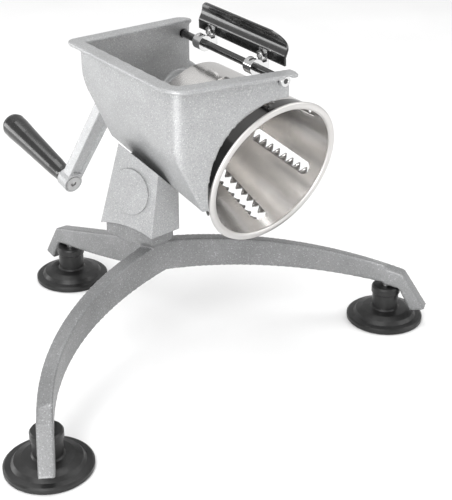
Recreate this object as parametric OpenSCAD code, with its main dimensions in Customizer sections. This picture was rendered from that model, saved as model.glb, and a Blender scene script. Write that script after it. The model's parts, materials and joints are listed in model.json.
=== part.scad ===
// Rotary drum grater on a three-legged base with rubber suction feet.
// Millimetres, +Z up, floor at z = 0.  The middle of the base is drawn at x = 0, y = 0, and moved at the end.
// The drum's open mouth faces -Y, the crank is at the +Y end.

/* [Base] */
// Plan radius of the curved pair of front legs
bow_r = 180; // [170:1:190]
// Sweep of each front leg from the middle of the base to its foot, degrees
bow_sweep = 57.4; // [52:0.2:62]
// Distance from the middle of the base to the rear foot
rear_reach = 128.5; // [120:0.5:140]
// Width of every leg
leg_w = 10.6; // [9:0.2:13]
// Height of the top of the legs at the middle
hub_top = 83; // [78:0.5:88]
// Height of the top of the legs at the bend above the toes
knee_top = 41.5; // [39:0.5:45]

/* [Feet] */
// Radius of a suction foot
foot_r = 29; // [25:0.5:32]
// Radius of the foot's rubber stem
stem_r = 10; // [9:0.5:11]

/* [Head] */
// Downward tilt of the drum's axis towards its mouth, degrees
tilt = 15; // [14:0.5:16]
// Upward tilt of the hopper's rim towards the crank, degrees
rake = 3.6; // [3:0.1:4]
// Wall thickness of the hopper
wall = 3.5; // [3:0.25:4]
// Width of the hopper's flange
lip = 7; // [5:0.5:8]

/* [Drum] */
// Outer radius of the drum's sheet at its mouth
drum_r = 55; // [53:0.5:56]
// Outer radius of the drum's sheet at its closed end
drum_end_r = 38; // [35:0.5:40]
// Length of the drum along its axis
drum_len = 96; // [90:1:98]
// Thickness of the drum's sheet
sheet = 1.2; // [1:0.1:1.5]

/* [Crank] */
// Distance from the drum's axis to the axis of the grip
crank_reach = 118; // [105:1:120]
// Length of the grip
grip_len = 87; // [75:1:92]

/* [Hidden] */
$fn = 64;

far = 400;                       // longer than anything that is cut
mouth = [64.5, -49.2, 132.4];    // centre of the drum's mouth
running_fit = 0.05;              // radial clearance of turning fits

// ---- helpers ----

function unit(v) = v / norm(v);
function turned(v, a) = [v.x * cos(a) - v.y * sin(a), v.x * sin(a) + v.y * cos(a)];

// An arc of n steps that rounds the corner p between its neighbours a and b.
function corner_arc(p, a, b, r, n) =
    let (ua = unit(a - p),
         ub = unit(b - p),
         half = acos(ua * ub) / 2,
         centre = p + unit(ua + ub) * r / sin(half),
         from = p + ua * r / tan(half) - centre,
         to = p + ub * r / tan(half) - centre,
         sweep = atan2(from.x * to.y - from.y * to.x, from * to))
    [for (k = [0:n]) centre + turned(from, sweep * k / n)];

// A polygon's corners rounded with the given radii; a radius of 0 keeps a sharp corner.
function rounded(pts, radii, n = 6) =
    let (count = len(pts))
    [for (i = [0:count - 1])
        let (p = pts[i], a = pts[(i + count - 1) % count], b = pts[(i + 1) % count])
        each radii[i] == 0 ? [p] : corner_arc(p, a, b, radii[i], n)];

// Children drawn about +Z stand along the drum's axis, z being the distance behind the mouth.
module on_drum_axis(behind = 0) {
    translate(mouth) rotate([tilt, 0, 0]) translate([0, behind, 0]) rotate([-90, 0, 0]) children();
}

// Children drawn in the drum's own frame: x across, y behind the mouth, z up.
module in_drum_frame() {
    translate(mouth) rotate([tilt, 0, 0]) children();
}

// A profile drawn in x and z, extruded along y from y0 over a length.
module along_y(y0, length) {
    translate([0, y0 + length, 0]) rotate([90, 0, 0]) linear_extrude(length) children();
}

module tube_ring(r_out, r_in, h) {
    difference() {
        cylinder(r = r_out, h = h);
        translate([0, 0, -1]) cylinder(r = r_in, h = h + 2);
    }
}

// ---- base ----

toe_tip = 31.5;
stud_r = 3;
bolt_r = 3;
bolt_head_r = 5;
bolt_head_room = 87;             // height of the seats for the bolts' washers
bolt_spots = [[-11.3, 11.5], [-13.5, 24.5]];
saddle_r = 80;                   // the column sits on an arched saddle of this radius
saddle_top = 96.4;

front_length = bow_r * bow_sweep * PI / 180;
knee_reach = 13;

function leg_top(along, length) =
    hub_top - (hub_top - knee_top) * along / (length + knee_reach);
function leg_depth(along, length) =
    let (f = 1 - along / (length + knee_reach)) 12.5 + 20 * f - 9 * f * f;

// Side outline of a leg against its run along the leg, from the middle to just past the foot.
steps = 9;
function leg_side(length, place) = concat(
    [for (k = [0:steps]) let (s = length * k / steps) [place(s), leg_top(s, length)]],
    [for (k = [steps:-1:0]) let (s = length * k / steps)
        [place(s), leg_top(s, length) - leg_depth(s, length)]]);

// The bent end of a leg, drawn outwards along +X from the middle of its foot.
module toe(length) {
    rotate([90, 0, 0])
        translate([0, 0, -leg_w / 2])
            linear_extrude(leg_w)
                polygon(concat(
                    [[-1, leg_top(length - 1, length) - leg_depth(length - 1, length)],
                     [-1, leg_top(length - 1, length)]],
                    corner_arc([knee_reach, knee_top], [-1, leg_top(length - 1, length)],
                               [toe_tip, 14], 5, 4),
                    [[toe_tip, 14], [20.5, 11.5], [10.5, 29]]));
}

module front_bow_plan() {
    translate([0, -bow_r])
        difference() {
            circle(r = bow_r + leg_w / 2, $fn = 180);
            circle(r = bow_r - leg_w / 2, $fn = 180);
        }
}

module front_leg(side) {
    intersection() {
        linear_extrude(hub_top + 1)
            intersection() {
                front_bow_plan();
                translate([0, -bow_r])
                    polygon([[0, 0], [0, far],
                             [side * far * sin(bow_sweep), far * cos(bow_sweep)]]);
            }
        along_y(-far / 2, far)
            polygon(leg_side(front_length + 2,
                             function (s) side * bow_r * 1.02 * sin(s / bow_r * 180 / PI)));
    }
    at_front_foot(side) toe(front_length);
}

module at_front_foot(side) {
    translate([side * bow_r * sin(bow_sweep), -bow_r * (1 - cos(bow_sweep)), 0])
        rotate([0, 0, side > 0 ? -bow_sweep : bow_sweep - 180])
            children();
}

module rear_leg() {
    rotate([0, 0, 90]) {
        translate([0, leg_w / 2, 0])
            rotate([90, 0, 0])
                linear_extrude(leg_w)
                    polygon(leg_side(rear_reach, function (s) s));
        translate([rear_reach, 0, 0]) toe(rear_reach);
    }
}

module at_feet() {
    for (side = [-1, 1])
        at_front_foot(side) children();
    translate([0, rear_reach, 0]) rotate([0, 0, 90]) children();
}

// Plan of the column's foot: nearly a rectangle, turned a little about the upright.
function foot_plan(inset) = [
    [-19.4 + inset, -13.8 + inset], [6.9 - inset, -12.4 + inset],
    [-3 - inset, 36 - inset], [-31 + 1.2 * inset, 33.8 - inset]];

module saddle() {
    translate([0, 9.5, saddle_top - saddle_r])
        rotate([0, 90, 0]) cylinder(r = saddle_r, h = far, center = true, $fn = 180);
}

module saddle_boss() {
    intersection() {
        union() {
            translate([0, 0, 86]) linear_extrude(saddle_top - 86) polygon(foot_plan(3));
            hull() {
                slab(86, foot_plan(3));
                slab(78, foot_plan(11));
            }
        }
        saddle();
    }
}

module tripod_base() {
    color("slategray")
    difference() {
        union() {
            for (side = [-1, 1])
                front_leg(side);
            rear_leg();
            saddle_boss();
        }
        at_feet()
            translate([0, 0, -1]) cylinder(r = stud_r + 0.1, h = 40, $fn = 32);
        for (p = bolt_spots)
            translate([p.x, p.y, 0]) {
                cylinder(r = bolt_r + 0.3, h = far, $fn = 32);
                cylinder(r = bolt_head_r + 0.4, h = bolt_head_room, $fn = 32);
            }
    }
}

// ---- suction feet ----

module suction_foot() {
    color("dimgray")
    rotate_extrude()
        polygon([[stud_r + 0.1, 8], [8, 6.5], [19, 3.4], [foot_r - 4, 0],
                 [foot_r - 0.8, 0], [foot_r, 0.8], [foot_r, 3.4], [foot_r - 1.2, 4.4],
                 [foot_r - 5, 5], [22, 7.6], [17, 9.4], [stem_r + 1, 10.2], [stem_r, 11.2],
                 [stem_r, 22.4], [stem_r + 0.9, 23.2], [stem_r + 0.9, 27.4], [stem_r, 28.7],
                 [stud_r + 0.1, 28.7]]);
}

module suction_foot_left() {
    at_front_foot(-1) suction_foot();
}

module suction_foot_right() {
    at_front_foot(1) suction_foot();
}

module suction_foot_rear() {
    translate([0, rear_reach, 0]) suction_foot();
}

module foot_studs() {
    color("silver")
    at_feet() {
        translate([0, 0, 8.5]) cylinder(r = stud_r, h = 30, $fn = 32);
    }
}

// ---- hopper housing ----

rim_point = [67.2, -69.6, 210.4];     // right-hand front corner of the rim, top face
throat_r = 60.7;                      // radius of the arch over the drum
slope_low = [-60.9, -20];             // a point low on the chute's slope, from the drum's axis
foot_point = [1, -49.8, 120.8];       // front end of the chute's lower edge
foot_tilt = 10.6;
belly_r = 60;                         // bend from the upright wall into the slope
bush_bore = 9;
bush_front = 112;                     // front face of the bush's flange, behind the mouth
bush_flange_r = 12;
boss_back = 166;                      // rear face of the bearing boss, behind the mouth

// Plan of the hopper's walls, moved in from their outer faces by an inset; the right side is open.
front_slope = -0.1877;
function front_y(x) = -62.6 + front_slope * (x - 67.2);
function wall_plan(inset, front_end, back_end) = [
    [-20.5 + inset, front_y(-20.5) + inset],
    [front_end, front_y(front_end) + inset],
    [back_end, 65.4 - inset],
    [-20.5 + inset, 65.4 - inset]];

module outer_plan() {
    polygon(rounded(wall_plan(0, 65, 76), [11, 0, 0, 4]));
}

module inner_plan(inset) {
    polygon(rounded(wall_plan(inset, far, far), [11 - inset, 0, 0, 2]));
}

module rim_plan() {
    polygon(rounded(wall_plan(-lip, 67.2, 79), [11 + lip, 2, 9, 7]));
}

// Section of the chute across the drum's axis: upright wall, bend, then a slope in to the drum.
side_x = -85;
bend_z = 29.4;
slope_run = (slope_low.x - side_x) / (bend_z - slope_low.y);
function chute_section(inset) =
    let (shift = inset * norm([1, slope_run]),
         low = [slope_low.x + shift + slope_run * 60, slope_low.y - 60])
    concat([[far, far], [side_x + inset, far]],
           corner_arc([side_x + inset, bend_z + inset * 0.23], [side_x + inset, far], low,
                      belly_r - inset, 8),
           [low, [far, low.y]]);

module chute_trim(inset) {
    in_drum_frame()
        along_y(-far / 2, far)
            polygon(chute_section(inset));
}

module above_foot() {
    translate(foot_point) rotate([foot_tilt, 0, 0])
        translate([-far, -far, 0]) cube([2 * far, 2 * far, far]);
}

module chute_outside() {
    intersection() {
        linear_extrude(far) outer_plan();
        chute_trim(0);
        above_foot();
    }
}

module chute_inside() {
    intersection() {
        linear_extrude(far) inner_plan(wall);
        chute_trim(wall);
    }
}

module in_rim_frame() {
    translate([0, rim_point.y, rim_point.z]) rotate([rake, 0, 0]) translate([0, -rim_point.y, 0])
        children();
}

module flange() {
    in_rim_frame()
        translate([0, 0, -3])
            linear_extrude(3)
                difference() {
                    rim_plan();
                    inner_plan(wall);
                }
}

module hopper_housing() {
    color("lightgray")
    difference() {
        union() {
            difference() {
                union() {
                    chute_outside();
                    intersection() {
                        on_drum_axis(60) cylinder(r = 26, h = 100);
                        translate([0, 61.9, 0]) cube([far, 3.5, far]);
                    }
                }
                chute_inside();
                in_rim_frame() translate([-far, -far, 0]) cube([2 * far, 2 * far, far]);
            }
            flange();
            on_drum_axis(114) cylinder(r1 = 19, r2 = 14, h = boss_back - 114);
        }
        on_drum_axis(-60) cylinder(r = throat_r, h = 115, $fn = 128);
        on_drum_axis(105) cylinder(r = bush_bore, h = 80);
        on_drum_axis(bush_front - 7) cylinder(r = bush_flange_r + 0.02, h = 9);
        on_rod(-1) cylinder(r = rod_r + 0.1, h = 140, $fn = 32);
        on_rod(-14) cylinder(r = nut_r + 0.2, h = 13.4, $fn = 32);
        at_housing_screws() cylinder(r = 2.1, h = 10.9, $fn = 24);
    }
}

// ---- column ----

drum_clear_r = 53;
tongue_top = 4;

module slab(z, outline) {
    translate([0, 0, z]) linear_extrude(0.1) polygon(outline);
}

module column_blank() {
    hull() {
        slab(88, foot_plan(0));
        slab(178, [[-5.1, -13.1], [6.9, -12.4], [0.3, 20], [-13.2, 20]]);
    }
    hull() {
        slab(98, [[-8, 2], [2, 2], [-3, 30], [-10, 30]]);
        slab(166, [[-6, 2], [13, 2], [13, 44], [-6, 44]]);
    }
}

// A plain raised disc on the column's left face.
module medallion() {
    translate([-19.8, 8.3, 122.5])
        rotate([0, 81.1, 193.7])
            translate([0, 0, -2]) cylinder(r = 16.5, h = 3);
}

module at_housing_screws() {
    for (y = [62, 84])
        in_drum_frame()
            translate([-57, y, -3]) rotate([0, -90, 0]) children();
}

// The column's top: level with the chute's lower edge, rising at 45 degrees outside it.
module column_top_cut() {
    intersection() {
        above_foot();
        translate(foot_point) rotate([foot_tilt, 0, 0]) rotate([0, 45, 0])
            translate([-far, -far, 0]) cube([2 * far, 2 * far, far]);
    }
}

module column() {
    color("silver")
    difference() {
        union() {
            difference() {
                union() {
                    column_blank();
                    medallion();
                }
                column_top_cut();
            }
            intersection() {
                column_blank();
                chute_inside();
                above_foot();
                in_drum_frame()
                    translate([-far, -far, -far + tongue_top]) cube([2 * far, 2 * far, far]);
            }
        }
        saddle();
        on_drum_axis(30) cylinder(r = drum_clear_r, h = 90, $fn = 128);
        for (p = bolt_spots)
            translate([p.x, p.y, bolt_head_room]) cylinder(r = bolt_r + 0.1, h = 32, $fn = 32);
        at_housing_screws() translate([0, 0, -1]) cylinder(r = 2.1, h = 12, $fn = 24);
        at_housing_screws() translate([0, 0, -20]) cylinder(r = 3.9, h = 20, $fn = 24);
    }
}

// ---- screws that hold the castings together ----

module column_bolts() {
    color("gray")
    for (p = bolt_spots)
        translate([p.x, p.y, bolt_head_room - 6.2])
            difference() {
                union() {
                    cylinder(r = bolt_head_r, h = 5, $fn = 32);
                    cylinder(r = bolt_r, h = 36, $fn = 32);
                }
                translate([0, 0, -1]) cylinder(r = 2.8, h = 3.5, $fn = 6);
            }
}

module column_washers() {
    color("silver")
    for (p = bolt_spots)
        translate([p.x, p.y, bolt_head_room - 1.2]) tube_ring(bolt_head_r + 0.2, bolt_r + 0.1, 1.2);
}

module housing_screws() {
    color("gray")
    at_housing_screws() {
        translate([0, 0, -3]) cylinder(r = 3.6, h = 3, $fn = 24);
        cylinder(r = 2, h = 10.8, $fn = 24);
    }
}

// ---- drive ----

shaft_r = 6;
collar_front = 106;
arm_front = 175;
arm_back = 187;
pin_r = 1.5;
base_front = drum_len - 3;

module shaft_bush() {
    color("goldenrod")
    on_drum_axis(bush_front)
        difference() {
            union() {
                cylinder(r = bush_bore - 0.02, h = boss_back - bush_front + 1);
                cylinder(r = bush_flange_r, h = 2);
            }
            translate([0, 0, -1]) cylinder(r = shaft_r + running_fit, h = 70);
        }
}

module drive_shaft() {
    color("silver")
    difference() {
        on_drum_axis(base_front - 7) cylinder(r = shaft_r, h = arm_back + 14 - base_front);
        at_hub_pin() cylinder(r = pin_r, h = 60, center = true, $fn = 24);
    }
}

module shaft_collar() {
    color("gray")
    on_drum_axis(collar_front + 1) tube_ring(10, shaft_r + 0.01, 4.5);
}

module at_hub_pin() {
    in_drum_frame() translate([0, 102, 0]) children();
}

// Drive hub: a boss behind the drum with two lugs that reach through the drum's end plate.
module drive_hub() {
    color("darkgray")
    difference() {
        union() {
            on_drum_axis(drum_len + 0.3) cylinder(r = 17, h = collar_front - drum_len - 0.3);
            for (side = [-1, 1])
                in_drum_frame()
                    translate([side * 12 - 2.5, base_front - 3, -3.5]) cube([5, 8, 7]);
        }
        on_drum_axis(base_front - 10) cylinder(r = shaft_r + 0.01, h = 40);
        at_hub_pin() cylinder(r = pin_r + 0.01, h = 60, center = true, $fn = 24);
    }
}

module hub_pin() {
    color("silver")
    at_hub_pin() cylinder(r = pin_r, h = 33, center = true, $fn = 24);
}

// ---- drum ----

rim_roll = 1.5;                  // radius of the rolled rim's bead
slots = 6;
slot_w = 6;
slot_start = 12;
slot_len = 54;
slot_turn = 109;                 // angle of the first slot from the top, clockwise seen from the mouth

module drum_shell() {
    color("lightsteelblue")
    difference() {
        on_drum_axis()
            rotate_extrude($fn = 128)
                union() {
                    polygon([[drum_r - sheet, 0.6], [drum_r, 0.6],
                             [drum_end_r, drum_len], [drum_end_r - sheet, drum_len]]);
                    translate([drum_r + 0.5, rim_roll]) circle(r = rim_roll, $fn = 24);
                }
        for (k = [0:slots - 1])
            in_drum_frame()
                rotate([0, slot_turn + k * 360 / slots, 0])
                    translate([-slot_w / 2, slot_start, 20]) cube([slot_w, slot_len, 60]);
    }
}

module drum_base() {
    color("silver")
    difference() {
        on_drum_axis(base_front)
            rotate_extrude($fn = 128)
                polygon([[0, 0], [drum_end_r - sheet + 0.5, 0], [drum_end_r - sheet, 3], [0, 3]]);
        on_drum_axis(base_front - 1) cylinder(r = shaft_r + 0.3, h = 6);
        for (side = [-1, 1])
            in_drum_frame()
                translate([side * 12 - 2.9, base_front - 1, -3.9]) cube([5.8, 6, 7.8]);
    }
}

// ---- crank ----

crank_angle = 23.1;      // of the arm, from straight down towards the left
arm_half_top = 9;
arm_half_end = 6.6;

// Children are drawn in the arm's frame: x out along the arm, z along the drum's axis.
module on_arm() {
    on_drum_axis() rotate([0, 0, 90 + crank_angle]) children();
}

module arm_outline(hub_r, end_r) {
    polygon([[0, -hub_r], [crank_reach, -end_r], [crank_reach, end_r], [0, hub_r]]);
}

module crank_arm() {
    color("darkgray")
    on_arm()
        difference() {
            union() {
                translate([0, 0, arm_front + 1]) cylinder(r = 13, h = arm_back - arm_front - 1);
                translate([crank_reach, 0, arm_front]) cylinder(r = 8.2, h = 12);
                translate([0, 0, arm_front + 3]) linear_extrude(5) arm_outline(arm_half_top, arm_half_end);
                translate([0, 0, arm_front + 1])
                    linear_extrude(9)
                        difference() {
                            arm_outline(arm_half_top, arm_half_end);
                            polygon([[14, -arm_half_top + 2.6], [crank_reach - 9, -arm_half_end + 2.2],
                                     [crank_reach - 9, arm_half_end - 2.2], [14, arm_half_top - 2.6]]);
                        }
            }
            translate([0, 0, arm_front - 1]) cylinder(r = shaft_r, h = 20);
            translate([crank_reach, 0, arm_front - 1]) cylinder(r = grip_bolt_r + 0.01, h = 20, $fn = 32);
            translate([crank_reach, 0, arm_front - 1]) cylinder(r = 6.6, h = 5, $fn = 32);
        }
}

module crank_washer() {
    color("silver")
    on_drum_axis(arm_back) tube_ring(9.5, shaft_r + 0.01, 1.5);
}

module crank_nut() {
    color("gray")
    on_drum_axis(arm_back + 1.5)
        difference() {
            cylinder(r = 9, h = 4.5, $fn = 6);
            translate([0, 0, -1]) cylinder(r = shaft_r + 0.01, h = 8);
        }
}

grip_bolt_r = 3;
grip_start = arm_front + 13.2;

module grip_bolt() {
    color("gray")
    on_arm()
        translate([crank_reach, 0, 0])
            difference() {
                union() {
                    translate([0, 0, arm_front - 0.5]) cylinder(r = 6.4, h = 4.5, $fn = 32);
                    translate([0, 0, arm_front + 4]) cylinder(r = grip_bolt_r, h = grip_len + 6, $fn = 32);
                    translate([0, 0, grip_start + grip_len - 7]) cylinder(r = 5.5, h = 3.4, $fn = 6);
                }
                translate([0, 0, arm_front - 1]) cylinder(r = 2.9, h = 3.2, $fn = 6);
            }
}

module grip_washer() {
    color("silver")
    on_arm()
        translate([crank_reach, 0, arm_front + 12]) tube_ring(7, grip_bolt_r + 0.01, 1);
}

module grip() {
    color("black")
    on_arm()
        translate([crank_reach, 0, grip_start])
            rotate_extrude()
                polygon([[grip_bolt_r + running_fit, 0], [6.4, 0], [7.2, 0.9], [7.2, 4], [8, 14],
                         [9.8, grip_len - 28], [10.7, grip_len - 12], [10.7, grip_len - 4],
                         [9.6, grip_len - 1], [8, grip_len], [6.1, grip_len],
                         [6.1, grip_len - 7.4], [grip_bolt_r + running_fit, grip_len - 7.4]]);
}

// ---- pusher flap and its hinge rod ----

rod_r = 2.8;
rod_front = [59.5, -61, 205.4];
nut_r = 3.8;
rod_yaw = -4.8;
rod_pitch = 1.7;
rod_span = 126.5;
clamp_spots = [34, 98];
clamp_w = 9;
clamp_z = 6.7;                   // height of the clamps' screws above the rod
pad_x = 8.5;
strip_x = 10.5;                  // left face of the flap's strip, right of the rod
flap_lean = -3;
flap_start = 12;
flap_len = 106;
flap_low = 3.5;
flap_high = 25;
flap_t = 1.5;

// Children are drawn in the rod's frame: y along the rod from its front end, z up.
module in_rod_frame() {
    translate(rod_front) rotate([0, 0, rod_yaw]) rotate([rod_pitch, 0, 0]) children();
}

module on_rod(along) {
    in_rod_frame() translate([0, along, 0]) rotate([-90, 0, 0]) children();
}

// Children are drawn in the flap's frame, which leans out over the rod.
module leaned() {
    in_rod_frame() rotate([0, flap_lean, 0]) children();
}

module hinge_rod() {
    color("dimgray")
    on_rod(-3.4) cylinder(r = rod_r - 1, h = rod_span + 6.6);
    color("dimgray")
    on_rod(-0.4) cylinder(r = rod_r, h = rod_span + 1.2);
}

module rod_end_nuts() {
    color("silver")
    for (along = [-3.6, rod_span + 0.9])
        on_rod(along)
            difference() {
                cylinder(r = nut_r, h = 2.6, $fn = 24);
                translate([0, 0, -1]) cylinder(r = rod_r - 0.99, h = 5, $fn = 24);
            }
}

// Left face of the flap's section: upright strip, hollow bulge to the right, then the top lip.
function flap_face(t) = concat(
    [[strip_x + t, flap_low], [strip_x + t, flap_low + 5]],
    [for (a = [-50:20:50]) [strip_x + t + 8 * (cos(a) - cos(50)), 17 + 7 * sin(a) / sin(50)]],
    [[strip_x + t - 1.2, flap_high]]);

function backwards(list) = [for (i = [len(list) - 1:-1:0]) list[i]];

module pusher_flap() {
    color("black")
    difference() {
        leaned()
            intersection() {
                along_y(flap_start, flap_len)
                    polygon(concat(flap_face(0), backwards(flap_face(flap_t))));
                rotate([90, 0, 90])
                    linear_extrude(40)
                        polygon(rounded([[flap_start, -10], [flap_start + flap_len, -10],
                                         [flap_start + flap_len, flap_high], [flap_start, flap_high]],
                                        [0, 0, 10, 13]));
            }
        at_clamp_screws() cylinder(r = 2.1, h = 30, center = true, $fn = 24);
    }
}

// Children are drawn about the axis of each clamp's screw, z = 0 on the flap's left face.
module at_clamp_screws() {
    for (along = clamp_spots)
        leaned() translate([strip_x, along, clamp_z]) rotate([0, 90, 0]) children();
}

module flap_clamps() {
    color("white")
    difference() {
        for (along = clamp_spots)
            leaned()
                translate([0, along - clamp_w / 2, 0]) {
                    rotate([-90, 0, 0]) cylinder(r = 5.8, h = clamp_w);
                    translate([3, 0, -2.5]) cube([strip_x - 3, clamp_w, 5]);
                    translate([pad_x, 0, -2.5]) cube([strip_x - pad_x, clamp_w, clamp_z + 6.5]);
                }
        on_rod(0) cylinder(r = rod_r + running_fit, h = rod_span);
        at_clamp_screws() cylinder(r = 2.1, h = 30, center = true, $fn = 24);
    }
}

module clamp_screws() {
    color("silver")
    at_clamp_screws() {
        translate([0, 0, -5.5]) cylinder(r = 2, h = 5.5 + flap_t, $fn = 24);
        translate([0, 0, flap_t]) cylinder(r1 = 3.2, r2 = 2.3, h = 1.8, $fn = 24);
    }
}

module clamp_nuts() {
    color("silver")
    at_clamp_screws()
        translate([0, 0, pad_x - strip_x - 3])
            difference() {
                cylinder(r = 3.8, h = 3, $fn = 6);
                cylinder(r = 2.01, h = 8, center = true, $fn = 24);
            }
}

// ---- nodes ----

// The origin is on the floor, under the middle of the whole part.
translate([0, -67.2, 0]) {
    tripod_base();
    suction_foot_left();
    suction_foot_right();
    suction_foot_rear();
    foot_studs();
    column();
    column_bolts();
    column_washers();
    hopper_housing();
    housing_screws();
    shaft_bush();
    drive_shaft();
    shaft_collar();
    drive_hub();
    hub_pin();
    drum_shell();
    drum_base();
    crank_arm();
    crank_washer();
    crank_nut();
    grip_bolt();
    grip_washer();
    grip();
    hinge_rod();
    rod_end_nuts();
    pusher_flap();
    flap_clamps();
    clamp_screws();
    clamp_nuts();
}
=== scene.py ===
"""Looks for the rotary drum grater: paint, steel, rubber and plastic, the toothed drum and the bent flap.

Metres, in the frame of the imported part: the floor is z = 0 and the drum's mouth faces -Y.
"""

import json
import math

import bmesh
import bpy
from mathutils import Matrix, Vector


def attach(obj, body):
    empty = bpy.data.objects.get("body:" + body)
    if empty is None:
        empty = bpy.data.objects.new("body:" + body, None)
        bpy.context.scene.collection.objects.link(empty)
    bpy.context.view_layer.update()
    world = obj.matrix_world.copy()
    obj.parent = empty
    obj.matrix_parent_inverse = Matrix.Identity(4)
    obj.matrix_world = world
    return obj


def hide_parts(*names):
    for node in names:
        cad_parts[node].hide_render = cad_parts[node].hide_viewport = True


MM = 0.001

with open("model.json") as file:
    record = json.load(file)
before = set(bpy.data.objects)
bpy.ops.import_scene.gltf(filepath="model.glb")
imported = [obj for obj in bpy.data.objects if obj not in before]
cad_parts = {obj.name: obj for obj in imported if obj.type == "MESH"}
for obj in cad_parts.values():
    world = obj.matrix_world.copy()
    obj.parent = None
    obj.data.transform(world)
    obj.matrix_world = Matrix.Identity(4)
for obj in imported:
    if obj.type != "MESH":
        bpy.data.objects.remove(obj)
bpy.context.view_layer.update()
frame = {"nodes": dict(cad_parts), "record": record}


# ---- the drum's own frame: x across, y behind the mouth, z up ----

TILT = math.radians(15)
BASE_MIDDLE = Vector((0, -67.2, 0))
MOUTH = (BASE_MIDDLE + Vector((64.5, -49.2, 132.4))) * MM
DRUM = Matrix.Translation(MOUTH) @ Matrix.Rotation(TILT, 4, "X")


# ---- small helpers ----


def new_object(name, verts, faces, smooth=True):
    mesh = bpy.data.meshes.new(name)
    mesh.from_pydata(verts, [], faces)
    mesh.update()
    obj = bpy.data.objects.new(name, mesh)
    bpy.context.scene.collection.objects.link(obj)
    shade_smooth(obj, smooth)
    return obj


def shade_smooth(obj, smooth=True):
    for face in obj.data.polygons:
        face.use_smooth = smooth


def grid_faces(rows, columns, closed=False):
    """Quads of a grid of vertices stored row by row; a closed grid joins its last row to the first."""
    faces = []
    for i in range(rows if closed else rows - 1):
        j = (i + 1) % rows
        for k in range(columns - 1):
            faces.append((i * columns + k, j * columns + k, j * columns + k + 1, i * columns + k + 1))
    return faces


def recalculated(obj, weld=0.0):
    """Turns the faces outwards, after joining vertices that are closer than the weld distance."""
    mesh = bmesh.new()
    mesh.from_mesh(obj.data)
    if weld:
        bmesh.ops.remove_doubles(mesh, verts=mesh.verts, dist=weld)
    bmesh.ops.recalc_face_normals(mesh, faces=mesh.faces)
    mesh.to_mesh(obj.data)
    mesh.free()
    return obj


def add_modifier(obj, kind, **settings):
    modifier = obj.modifiers.new(kind.lower(), kind)
    for key, value in settings.items():
        setattr(modifier, key, value)
    return modifier


def applied(obj):
    """Bakes the object's modifiers into its mesh."""
    graph = bpy.context.evaluated_depsgraph_get()
    mesh = bpy.data.meshes.new_from_object(obj.evaluated_get(graph))
    obj.modifiers.clear()
    obj.data = mesh
    return obj


# ---- materials ----


class Nodes:
    """A principled material with short calls to add and link nodes."""

    def __init__(self, name):
        self.material = bpy.data.materials.new(name)
        self.material.use_nodes = True
        self.tree = self.material.node_tree
        self.shader = self.tree.nodes["Principled BSDF"]
        self.coordinates = self.add("ShaderNodeTexCoord").outputs["Object"]

    def add(self, kind, **settings):
        node = self.tree.nodes.new(kind)
        for key, value in settings.items():
            setattr(node, key, value)
        return node

    def link(self, source, target):
        self.tree.links.new(source, target)

    def values(self, **numbers):
        for key, value in numbers.items():
            self.shader.inputs[key.replace("_", " ")].default_value = value

    def stretched(self, turn=(0, 0, 0), scale=(1, 1, 1)):
        mapping = self.add("ShaderNodeMapping")
        mapping.inputs["Rotation"].default_value = turn
        mapping.inputs["Scale"].default_value = scale
        self.link(self.coordinates, mapping.inputs["Vector"])
        return mapping.outputs["Vector"]

    def noise(self, scale, detail=2.0, vector=None):
        node = self.add("ShaderNodeTexNoise")
        node.inputs["Scale"].default_value = scale
        node.inputs["Detail"].default_value = detail
        self.link(vector or self.coordinates, node.inputs["Vector"])
        return node.outputs["Fac"]

    def cells(self, scale):
        """A random number for each small cell, for flakes and speckles."""
        node = self.add("ShaderNodeTexVoronoi")
        node.inputs["Scale"].default_value = scale
        self.link(self.coordinates, node.inputs["Vector"])
        split = self.add("ShaderNodeSeparateColor")
        self.link(node.outputs["Color"], split.inputs["Color"])
        return split.outputs["Red"]

    def ranged(self, source, low, high, from_low=0.0, from_high=1.0):
        node = self.add("ShaderNodeMapRange")
        node.inputs["From Min"].default_value = from_low
        node.inputs["From Max"].default_value = from_high
        node.inputs["To Min"].default_value = low
        node.inputs["To Max"].default_value = high
        self.link(source, node.inputs["Value"])
        return node.outputs["Result"]

    def colour_ramp(self, source, stops):
        node = self.add("ShaderNodeValToRGB")
        ramp = node.color_ramp
        while len(ramp.elements) < len(stops):
            ramp.elements.new(0.5)
        for element, (place, colour) in zip(ramp.elements, stops):
            element.position = place
            element.color = (*colour, 1)
        self.link(source, node.inputs["Fac"])
        return node.outputs["Color"]

    def mixed(self, kind, amount, first, second):
        node = self.add("ShaderNodeMix", data_type="RGBA", blend_type=kind)
        node.inputs["Factor"].default_value = amount
        self.link(first, node.inputs["A"])
        self.link(second, node.inputs["B"])
        return node.outputs["Result"]

    def bump(self, height, strength, distance, round_edges=0.0):
        node = self.add("ShaderNodeBump")
        node.inputs["Strength"].default_value = strength
        node.inputs["Distance"].default_value = distance
        self.link(height, node.inputs["Height"])
        if round_edges:
            bevel = self.add("ShaderNodeBevel")
            bevel.inputs["Radius"].default_value = round_edges
            self.link(bevel.outputs["Normal"], node.inputs["Normal"])
        self.link(node.outputs["Normal"], self.shader.inputs["Normal"])


def grey(value, warm=0.0):
    return (value * (1 + warm), value, value * (1 - warm))


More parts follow.
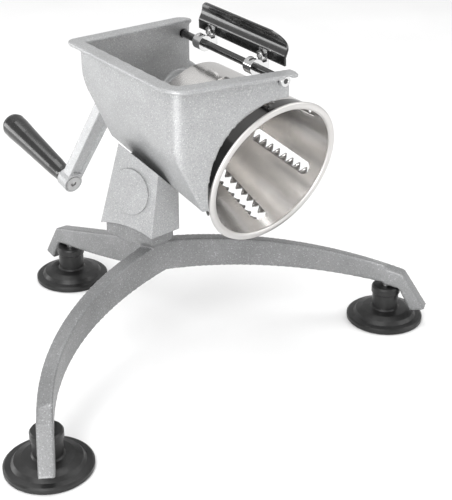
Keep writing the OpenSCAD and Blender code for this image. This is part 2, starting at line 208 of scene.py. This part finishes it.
def glitter_paint(name, dark, light, flake):
    """Metallic paint: a soft cloud of tone, fine speckles and bright flakes under a thin clear coat."""
    m = Nodes(name)
    cloud = m.colour_ramp(m.noise(28, 3), [(0.3, grey(dark, -0.01)), (0.72, grey(light, -0.01))])
    speckle = m.colour_ramp(m.cells(2100), [(0.0, grey(0.74)), (0.5, grey(0.96)), (1.0, grey(1.0))])
    flakes = m.colour_ramp(m.cells(1700), [(0.9, grey(0.0)), (0.99, grey(flake))])
    toned = m.mixed("MULTIPLY", 1.0, cloud, speckle)
    m.link(m.mixed("ADD", 1.0, toned, flakes), m.shader.inputs["Base Color"])
    m.link(m.ranged(m.cells(1700), 0.5, 0.34, 0.4, 1.0), m.shader.inputs["Roughness"])
    m.values(Metallic=0.3, Coat_Weight=0.25, Coat_Roughness=0.18)
    m.bump(m.noise(700, 2), 0.1, 0.00012, round_edges=0.0008)
    return m.material


def turned_steel(name, tone, low, high):
    """Thin stainless sheet, polished round and round the drum."""
    m = Nodes(name)
    rings = m.noise(1.0, 3, m.stretched((-TILT, 0, 0), (12, 1400, 12)))
    smudges = m.noise(22, 3)
    m.link(m.colour_ramp(smudges, [(0.3, grey(tone * 0.88, 0.02)), (0.7, grey(tone, 0.02))]),
           m.shader.inputs["Base Color"])
    m.link(m.ranged(rings, low, high), m.shader.inputs["Roughness"])
    m.values(Metallic=1.0)
    m.bump(rings, 0.05, 0.00004)
    return m.material


def plated_steel(name, tone, low, high, grain, coat=0.0):
    """Plated metal with faint patches of tone and softly rounded edges."""
    m = Nodes(name)
    patches = m.noise(90, 3)
    m.link(m.colour_ramp(patches, [(0.3, grey(tone * 0.86)), (0.7, grey(tone))]),
           m.shader.inputs["Base Color"])
    m.link(m.ranged(m.noise(300, 2), low, high, 0.3, 0.7), m.shader.inputs["Roughness"])
    m.values(Metallic=1.0, Coat_Weight=coat, Coat_Roughness=0.05)
    m.bump(m.noise(grain, 2), 0.08, 0.00005, round_edges=0.0003)
    return m.material


def brass(name):
    """Porous bearing metal."""
    m = Nodes(name)
    m.link(m.colour_ramp(m.noise(120, 3), [(0.3, (0.42, 0.28, 0.1)), (0.7, (0.6, 0.42, 0.18))]),
           m.shader.inputs["Base Color"])
    m.link(m.ranged(m.cells(2500), 0.35, 0.6), m.shader.inputs["Roughness"])
    m.values(Metallic=1.0)
    m.bump(m.cells(2500), 0.2, 0.00005)
    return m.material


def rubber(name):
    """Moulded black rubber with fine grain and a little dust."""
    m = Nodes(name)
    m.link(m.colour_ramp(m.noise(60, 4), [(0.35, grey(0.006)), (0.75, grey(0.016))]),
           m.shader.inputs["Base Color"])
    m.link(m.ranged(m.noise(140, 3), 0.28, 0.5, 0.3, 0.7), m.shader.inputs["Roughness"])
    m.values(Specular_IOR_Level=0.4)
    m.bump(m.noise(1800, 2), 0.3, 0.0001)
    return m.material


def black_plastic(name, low, high, coat):
    """Glossy black moulding or lacquer with a fine grain under the gloss."""
    m = Nodes(name)
    m.link(m.colour_ramp(m.noise(50, 3), [(0.3, grey(0.004)), (0.8, grey(0.01))]),
           m.shader.inputs["Base Color"])
    m.link(m.ranged(m.noise(220, 3), low, high, 0.3, 0.7), m.shader.inputs["Roughness"])
    m.values(Coat_Weight=coat, Coat_Roughness=0.08)
    m.bump(m.noise(1500, 2), 0.12, 0.00006, round_edges=0.0004)
    return m.material


MATERIALS = {
    "base_paint": glitter_paint("grey_hammer_paint", 0.17, 0.23, 0.12),
    "head_paint": glitter_paint("silver_glitter_paint", 0.32, 0.38, 0.15),
    "foot_rubber": rubber("moulded_rubber"),
    "drum_steel": turned_steel("turned_steel", 0.78, 0.14, 0.3),
    "zinc_steel": plated_steel("zinc_plate", 0.55, 0.28, 0.42, 900),
    "bush_brass": brass("bearing_metal"),
    "chrome": plated_steel("chrome_plate", 0.72, 0.06, 0.16, 400),
    "grip_plastic": black_plastic("grip_plastic", 0.18, 0.3, 0.4),
    "flap_plastic": black_plastic("flap_lacquer", 0.16, 0.28, 0.5),
}
RIM_STEEL = turned_steel("satin_rim", 0.68, 0.38, 0.5)
# Painted shade: the teeth get a darker copy of the drum's steel, for the shade they sit in.
PAINTED_SHADE_TOOTH_STEEL = turned_steel("tooth_steel_painted_shade", 0.3, 0.16, 0.3)
# Painted shade: a dark copy of the drum steel for the outside band near the rim.
PAINTED_SHADE_STEEL = turned_steel("painted_shade_steel", 0.1, 0.1, 0.2)
ARM_PAINT = glitter_paint("arm_paint", 0.38, 0.46, 0.14)
ROD_CHROME = plated_steel("black_chrome", 0.05, 0.2, 0.3, 400, coat=1.0)

slot_of = {part["node"]: part["material_slot"] for part in frame["record"]["subparts"]}


def paint(obj, slot):
    obj.data.materials.clear()
    obj.data.materials.append(MATERIALS[slot])


for node, obj in frame["nodes"].items():
    paint(obj, slot_of[node])
frame["nodes"]["hinge_rod"].data.materials[0] = ROD_CHROME
frame["nodes"]["crank_arm"].data.materials[0] = ARM_PAINT


def stands_for(obj, node, body):
    """The piece takes the place of a CAD node: its finish, its body and its slot."""
    paint(obj, slot_of[node])
    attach(obj, body)
    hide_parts(node)


# ---- castings: the CAD shape with its edges softened as a mould leaves them ----

SMOOTHING = 0.5
KEPT_FACES = 0.35


def softened(node, body, name, voxel, passes):
    """Replaces a CAD node by a copy whose edges are rounded by smoothing passes on small cells."""
    source = frame["nodes"][node]
    obj = bpy.data.objects.new(name, source.data.copy())
    bpy.context.scene.collection.objects.link(obj)
    add_modifier(obj, "REMESH", mode="VOXEL", voxel_size=voxel, use_smooth_shade=True)
    add_modifier(obj, "SMOOTH", factor=SMOOTHING, iterations=passes)
    add_modifier(obj, "DECIMATE", ratio=KEPT_FACES)
    shade_smooth(applied(obj))
    stands_for(obj, node, body)


VOXEL = 0.9 * MM
softened("hopper_housing", "frame", "hopper_casting", VOXEL, 5)
softened("tripod_base", "frame", "base_casting", VOXEL, 4)

# ---- drum: rolled rim, and slots with raised teeth on one side and on both sides by turns ----

DRUM_R = 55 * MM
DRUM_END_R = 38 * MM
DRUM_LEN = 96 * MM
SHEET = 1.2 * MM
SLOTS = 6
SLOT_TURN = math.radians(109)
SLOT_START = 12 * MM
TEETH = 8
TOOTH_PITCH = 6.75 * MM
TOOTH_LIFT = 2.0 * MM
TOOTH_SHEET = 0.7 * MM
TOOTH_OVERLAP = 0.6 * MM            # how far a tooth runs back into the sheet
LONG_TEETH = (7.2 * MM, 1.4 * MM)   # root and tip, from the middle of the slot
SHORT_TEETH = (6.0 * MM, 2.2 * MM)
PLAIN_EDGE = 3.2 * MM
SLOT_CORNER = 2.6 * MM
SHEET_START = 2 * MM
RIM_DEPTH = 1.5 * MM
RIM_HALF_WIDTH = 2.8 * MM
RIM_STANDS_OUT = 2 * MM
RIM_POINTS = 14
PAINTED_SHADE_BACK = 14 * MM               # the painted shade band on the outside ends here
SHARP_ANGLE = math.radians(35)


def sheet_radius(y):
    return DRUM_R + (DRUM_END_R - DRUM_R) * y / DRUM_LEN


def around(y, radius, angle):
    """A point of the drum: distance behind the mouth, radius, and angle from the top, clockwise."""
    return DRUM @ Vector((radius * math.sin(angle), y, radius * math.cos(angle)))


def revolved(name, profile, steps=192):
    """A closed profile of (distance behind the mouth, radius) turned about the drum's axis."""
    loop = profile + profile[:1]
    verts = [around(y, r, math.tau * i / steps) for i in range(steps) for y, r in loop]
    obj = new_object(name, verts, grid_faces(steps, len(loop), closed=True))
    return recalculated(obj, weld=1e-7)


def drum_profile():
    front = sheet_radius(SHEET_START)
    return [(DRUM_LEN, DRUM_END_R - SHEET), (DRUM_LEN, DRUM_END_R), (PAINTED_SHADE_BACK, sheet_radius(PAINTED_SHADE_BACK)),
            (SHEET_START, front), (SHEET_START, front - SHEET)]


def rim_profile():
    """The rolled edge of the sheet: a flattened bead, wider than it is deep."""
    centre = DRUM_R + RIM_STANDS_OUT - RIM_HALF_WIDTH
    turns = [math.tau * k / RIM_POINTS for k in range(RIM_POINTS)]
    return [(RIM_DEPTH + RIM_DEPTH * math.sin(t), centre + RIM_HALF_WIDTH * math.cos(t)) for t in turns]


def slot_cutter(angle, low, high):
    """A block through the sheet along one slot, from the low side to the high side, with cut corners."""
    length, corner = TEETH * TOOTH_PITCH, SLOT_CORNER
    outline = [(corner, low), (length - corner, low), (length, low + corner), (length, high - corner),
               (length - corner, high), (corner, high), (0, high - corner), (0, low + corner)]
    across = DRUM.to_3x3() @ Vector((math.cos(angle), 0, -math.sin(angle)))
    verts = []
    for reach in (0.7, 1.25):
        for along, s in outline:
            y = SLOT_START + along
            verts.append(around(y, sheet_radius(y) * reach, angle) + across * s)
    n = len(outline)
    faces = [tuple(range(n)), tuple(range(2 * n - 1, n - 1, -1))]
    faces += [(i, (i + 1) % n, n + (i + 1) % n, n + i) for i in range(n)]
    return recalculated(new_object("slot_cutter", verts, faces, smooth=False))


def tooth_faces(verts, faces, angle, side, place, root, tip):
    """Adds one tooth: a pointed scoop that rises out of the sheet and leans over the slot."""
    rows, columns = 8, 7
    first = len(verts)
    for i in range(rows):
        reach = i / (rows - 1)
        width = (1 - reach ** 1.5) * 0.5 * TOOTH_PITCH + 0.12 * MM
        s = side * (root + TOOTH_OVERLAP + (tip - root - TOOTH_OVERLAP) * reach)
        lift = TOOTH_LIFT * math.sin(reach * math.radians(110))
        for k in range(columns):
            share = 2 * k / (columns - 1) - 1
            y = SLOT_START + place * TOOTH_PITCH + share * width
            radius = sheet_radius(y) - 0.5 * SHEET + lift * (1 - 0.5 * share * share)
            verts.append(around(y, radius, angle + s / sheet_radius(y)))
    for i in range(rows - 1):
        for k in range(columns - 1):
            a = first + i * columns + k
            faces.append((a, a + columns, a + columns + 1, a + 1))


def paint_shade_outside(sheet):
    """Paints shade on the outside of the sheet: a dark steel from the rim back to the edge of the arch,
    standing in for the arch's shadow and dark reflection.
    """
    sheet.data.materials.append(PAINTED_SHADE_STEEL)
    to_drum = DRUM.inverted()
    for face in sheet.data.polygons:
        centre = to_drum @ face.center
        normal = to_drum.to_3x3() @ face.normal
        if normal.x * centre.x + normal.z * centre.z > 0 and centre.y < PAINTED_SHADE_BACK:
            face.material_index = 1


def build_drum():
    sheet = revolved("drum_sheet", drum_profile())
    verts, faces = [], []
    for slot in range(SLOTS):
        angle = SLOT_TURN + slot * math.tau / SLOTS
        both_sides = slot % 2 == 1
        root, tip = SHORT_TEETH if both_sides else LONG_TEETH
        cutter = slot_cutter(angle, -root if both_sides else -PLAIN_EDGE, root)
        add_modifier(sheet, "BOOLEAN", operation="DIFFERENCE", object=cutter, solver="EXACT")
        applied(sheet)
        bpy.data.objects.remove(cutter)
        for tooth in range(TEETH):
            tooth_faces(verts, faces, angle, 1, tooth + 0.5, root, tip)
        for tooth in range(TEETH - 1 if both_sides else 0):
            tooth_faces(verts, faces, angle, -1, tooth + 1, root, tip)
    shade_smooth(sheet)
    sheet.data.set_sharp_from_angle(angle=SHARP_ANGLE)
    stands_for(sheet, "drum_shell", "crank")
    # Painted shade on the outer band of the drum near the rim.
    paint_shade_outside(sheet)
    teeth = new_object("drum_teeth", verts, faces)
    add_modifier(teeth, "SOLIDIFY", thickness=TOOTH_SHEET, offset=0.0)
    # Painted shade: the teeth take the darker copy of the drum steel.
    applied(teeth).data.materials.append(PAINTED_SHADE_TOOTH_STEEL)
    rim = revolved("drum_rim", rim_profile())
    rim.data.materials.append(RIM_STEEL)
    for piece in (teeth, rim):
        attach(piece, "crank")


build_drum()

# ---- flap: one bent sheet with rounded top corners ----

ROD_FRONT = (BASE_MIDDLE + Vector((59.5, -61, 205.4))) * MM
ROD_YAW = math.radians(-4.8)
ROD_PITCH = math.radians(1.7)
FLAP_LEAN = math.radians(-3)
ROD_FRAME = (Matrix.Translation(ROD_FRONT) @ Matrix.Rotation(ROD_YAW, 4, "Z")
             @ Matrix.Rotation(ROD_PITCH, 4, "X"))
LEANED = ROD_FRAME @ Matrix.Rotation(FLAP_LEAN, 4, "Y")
STRIP_X = 10.5 * MM
FLAP_START = 12 * MM
FLAP_LEN = 106 * MM
FLAP_LOW = 3.5 * MM
FLAP_HIGH = 24.8 * MM
FLAP_T = 1.5 * MM
FLAP_EDGE = 0.5 * MM
HOLLOW_MIDDLE = 17.2 * MM
HOLLOW_HALF = 7.2 * MM
HOLLOW_DEPTH = 2.9 * MM
FRONT_CORNER = (18 * MM, 13 * MM)   # length along the flap, and drop of the edge
BACK_CORNER = (12 * MM, 10 * MM)


def flap_bulge(height):
    """How far the hollow of the flap stands out to the right at a height."""
    share = (height - HOLLOW_MIDDLE) / HOLLOW_HALF
    if abs(share) >= 1:
        return 0.0
    return HOLLOW_DEPTH * math.cos(share * math.pi / 2) ** 1.2


def flap_top(along):
    """Height of the top edge, rounded down at both ends."""
    top = FLAP_HIGH
    for distance, (length, drop) in ((along, FRONT_CORNER), (FLAP_LEN - along, BACK_CORNER)):
        if distance < length:
            top -= drop * (1 - math.sqrt(1 - (1 - distance / length) ** 2))
    return top


def build_flap():
    columns, rows = 90, 26
    verts = []
    for i in range(columns):
        share = i / (columns - 1)
        along = FLAP_LEN * (share - 0.12 * math.sin(math.tau * share))
        top = flap_top(along)
        for k in range(rows):
            height = FLAP_LOW + (top - FLAP_LOW) * k / (rows - 1)
            x = STRIP_X + FLAP_T / 2 + flap_bulge(height)
            verts.append(LEANED @ Vector((x, FLAP_START + along, height)))
    flap = new_object("flap_sheet", verts, grid_faces(columns, rows))
    add_modifier(flap, "SOLIDIFY", thickness=FLAP_T, offset=0.0)
    add_modifier(flap, "BEVEL", width=FLAP_EDGE, segments=2, limit_method="ANGLE",
                 angle_limit=math.radians(50))
    stands_for(applied(flap), "pusher_flap", "flap")


build_flap()

# ---- stage, light and camera ----


def add_light(name, place, target, size, power):
    data = bpy.data.lights.new(name, "AREA")
    data.shape = "RECTANGLE"
    data.size, data.size_y = size
    data.energy = power
    light = bpy.data.objects.new(name, data)
    light.location = place
    light.rotation_euler = (Vector(target) - Vector(place)).to_track_quat("-Z", "Y").to_euler()
    bpy.context.scene.collection.objects.link(light)


def add_floor():
    size = 4.0
    floor = new_object("floor", [(-size, -size, 0), (size, -size, 0), (size, size, 0), (-size, size, 0)],
                       [(0, 1, 2, 3)])
    m = Nodes("pale_floor")
    m.link(m.colour_ramp(m.noise(6, 2), [(0.3, grey(0.86)), (0.7, grey(0.9))]),
           m.shader.inputs["Base Color"])
    m.values(Roughness=0.7)
    m.bump(m.noise(400, 2), 0.03, 0.0001)
    floor.data.materials.append(m.material)


def add_world():
    world = bpy.data.worlds.new("studio")
    world.use_nodes = True
    world.node_tree.nodes["Background"].inputs["Color"].default_value = (1, 1, 1, 1)
    world.node_tree.nodes["Background"].inputs["Strength"].default_value = 0.7
    bpy.context.scene.world = world


def add_camera():
    """The viewpoint: right, up and backward directions as columns, then the place."""
    right = Vector((0.7741, -0.633, 0.0)).normalized()
    back = Vector((-0.568, -0.6946, 0.4414))
    back = (back - right * back.dot(right)).normalized()
    up = back.cross(right)
    matrix = Matrix((right, up, back)).transposed().to_4x4()
    matrix.translation = (-0.4382, -0.6768, 0.4422)
    data = bpy.data.cameras.new("camera")
    data.lens = 82.54
    data.clip_start = 0.01
    camera = bpy.data.objects.new("camera", data)
    camera.matrix_world = matrix
    bpy.context.scene.collection.objects.link(camera)
    bpy.context.scene.camera = camera


add_floor()
add_world()
middle = (0.02, -0.07, 0.14)
add_light("key_light", (-0.9, -0.57, 1.3), middle, (0.9, 0.9), 10)
add_light("fill_light", (0.9, -1.07, 0.8), middle, (1.0, 0.7), 6)
add_light("low_light", (-0.75, -0.62, 0.14), (-0.01, -0.09, 0.15), (0.5, 0.24), 6)
add_light("top_light", (0.1, 0.33, 1.5), middle, (1.2, 0.8), 9)
add_light("flap_light", (-0.9, 1.13, 0.25), (0.07, -0.07, 0.22), (0.7, 0.5), 5)
add_camera()
bpy.context.scene.view_settings.view_transform = "Standard"
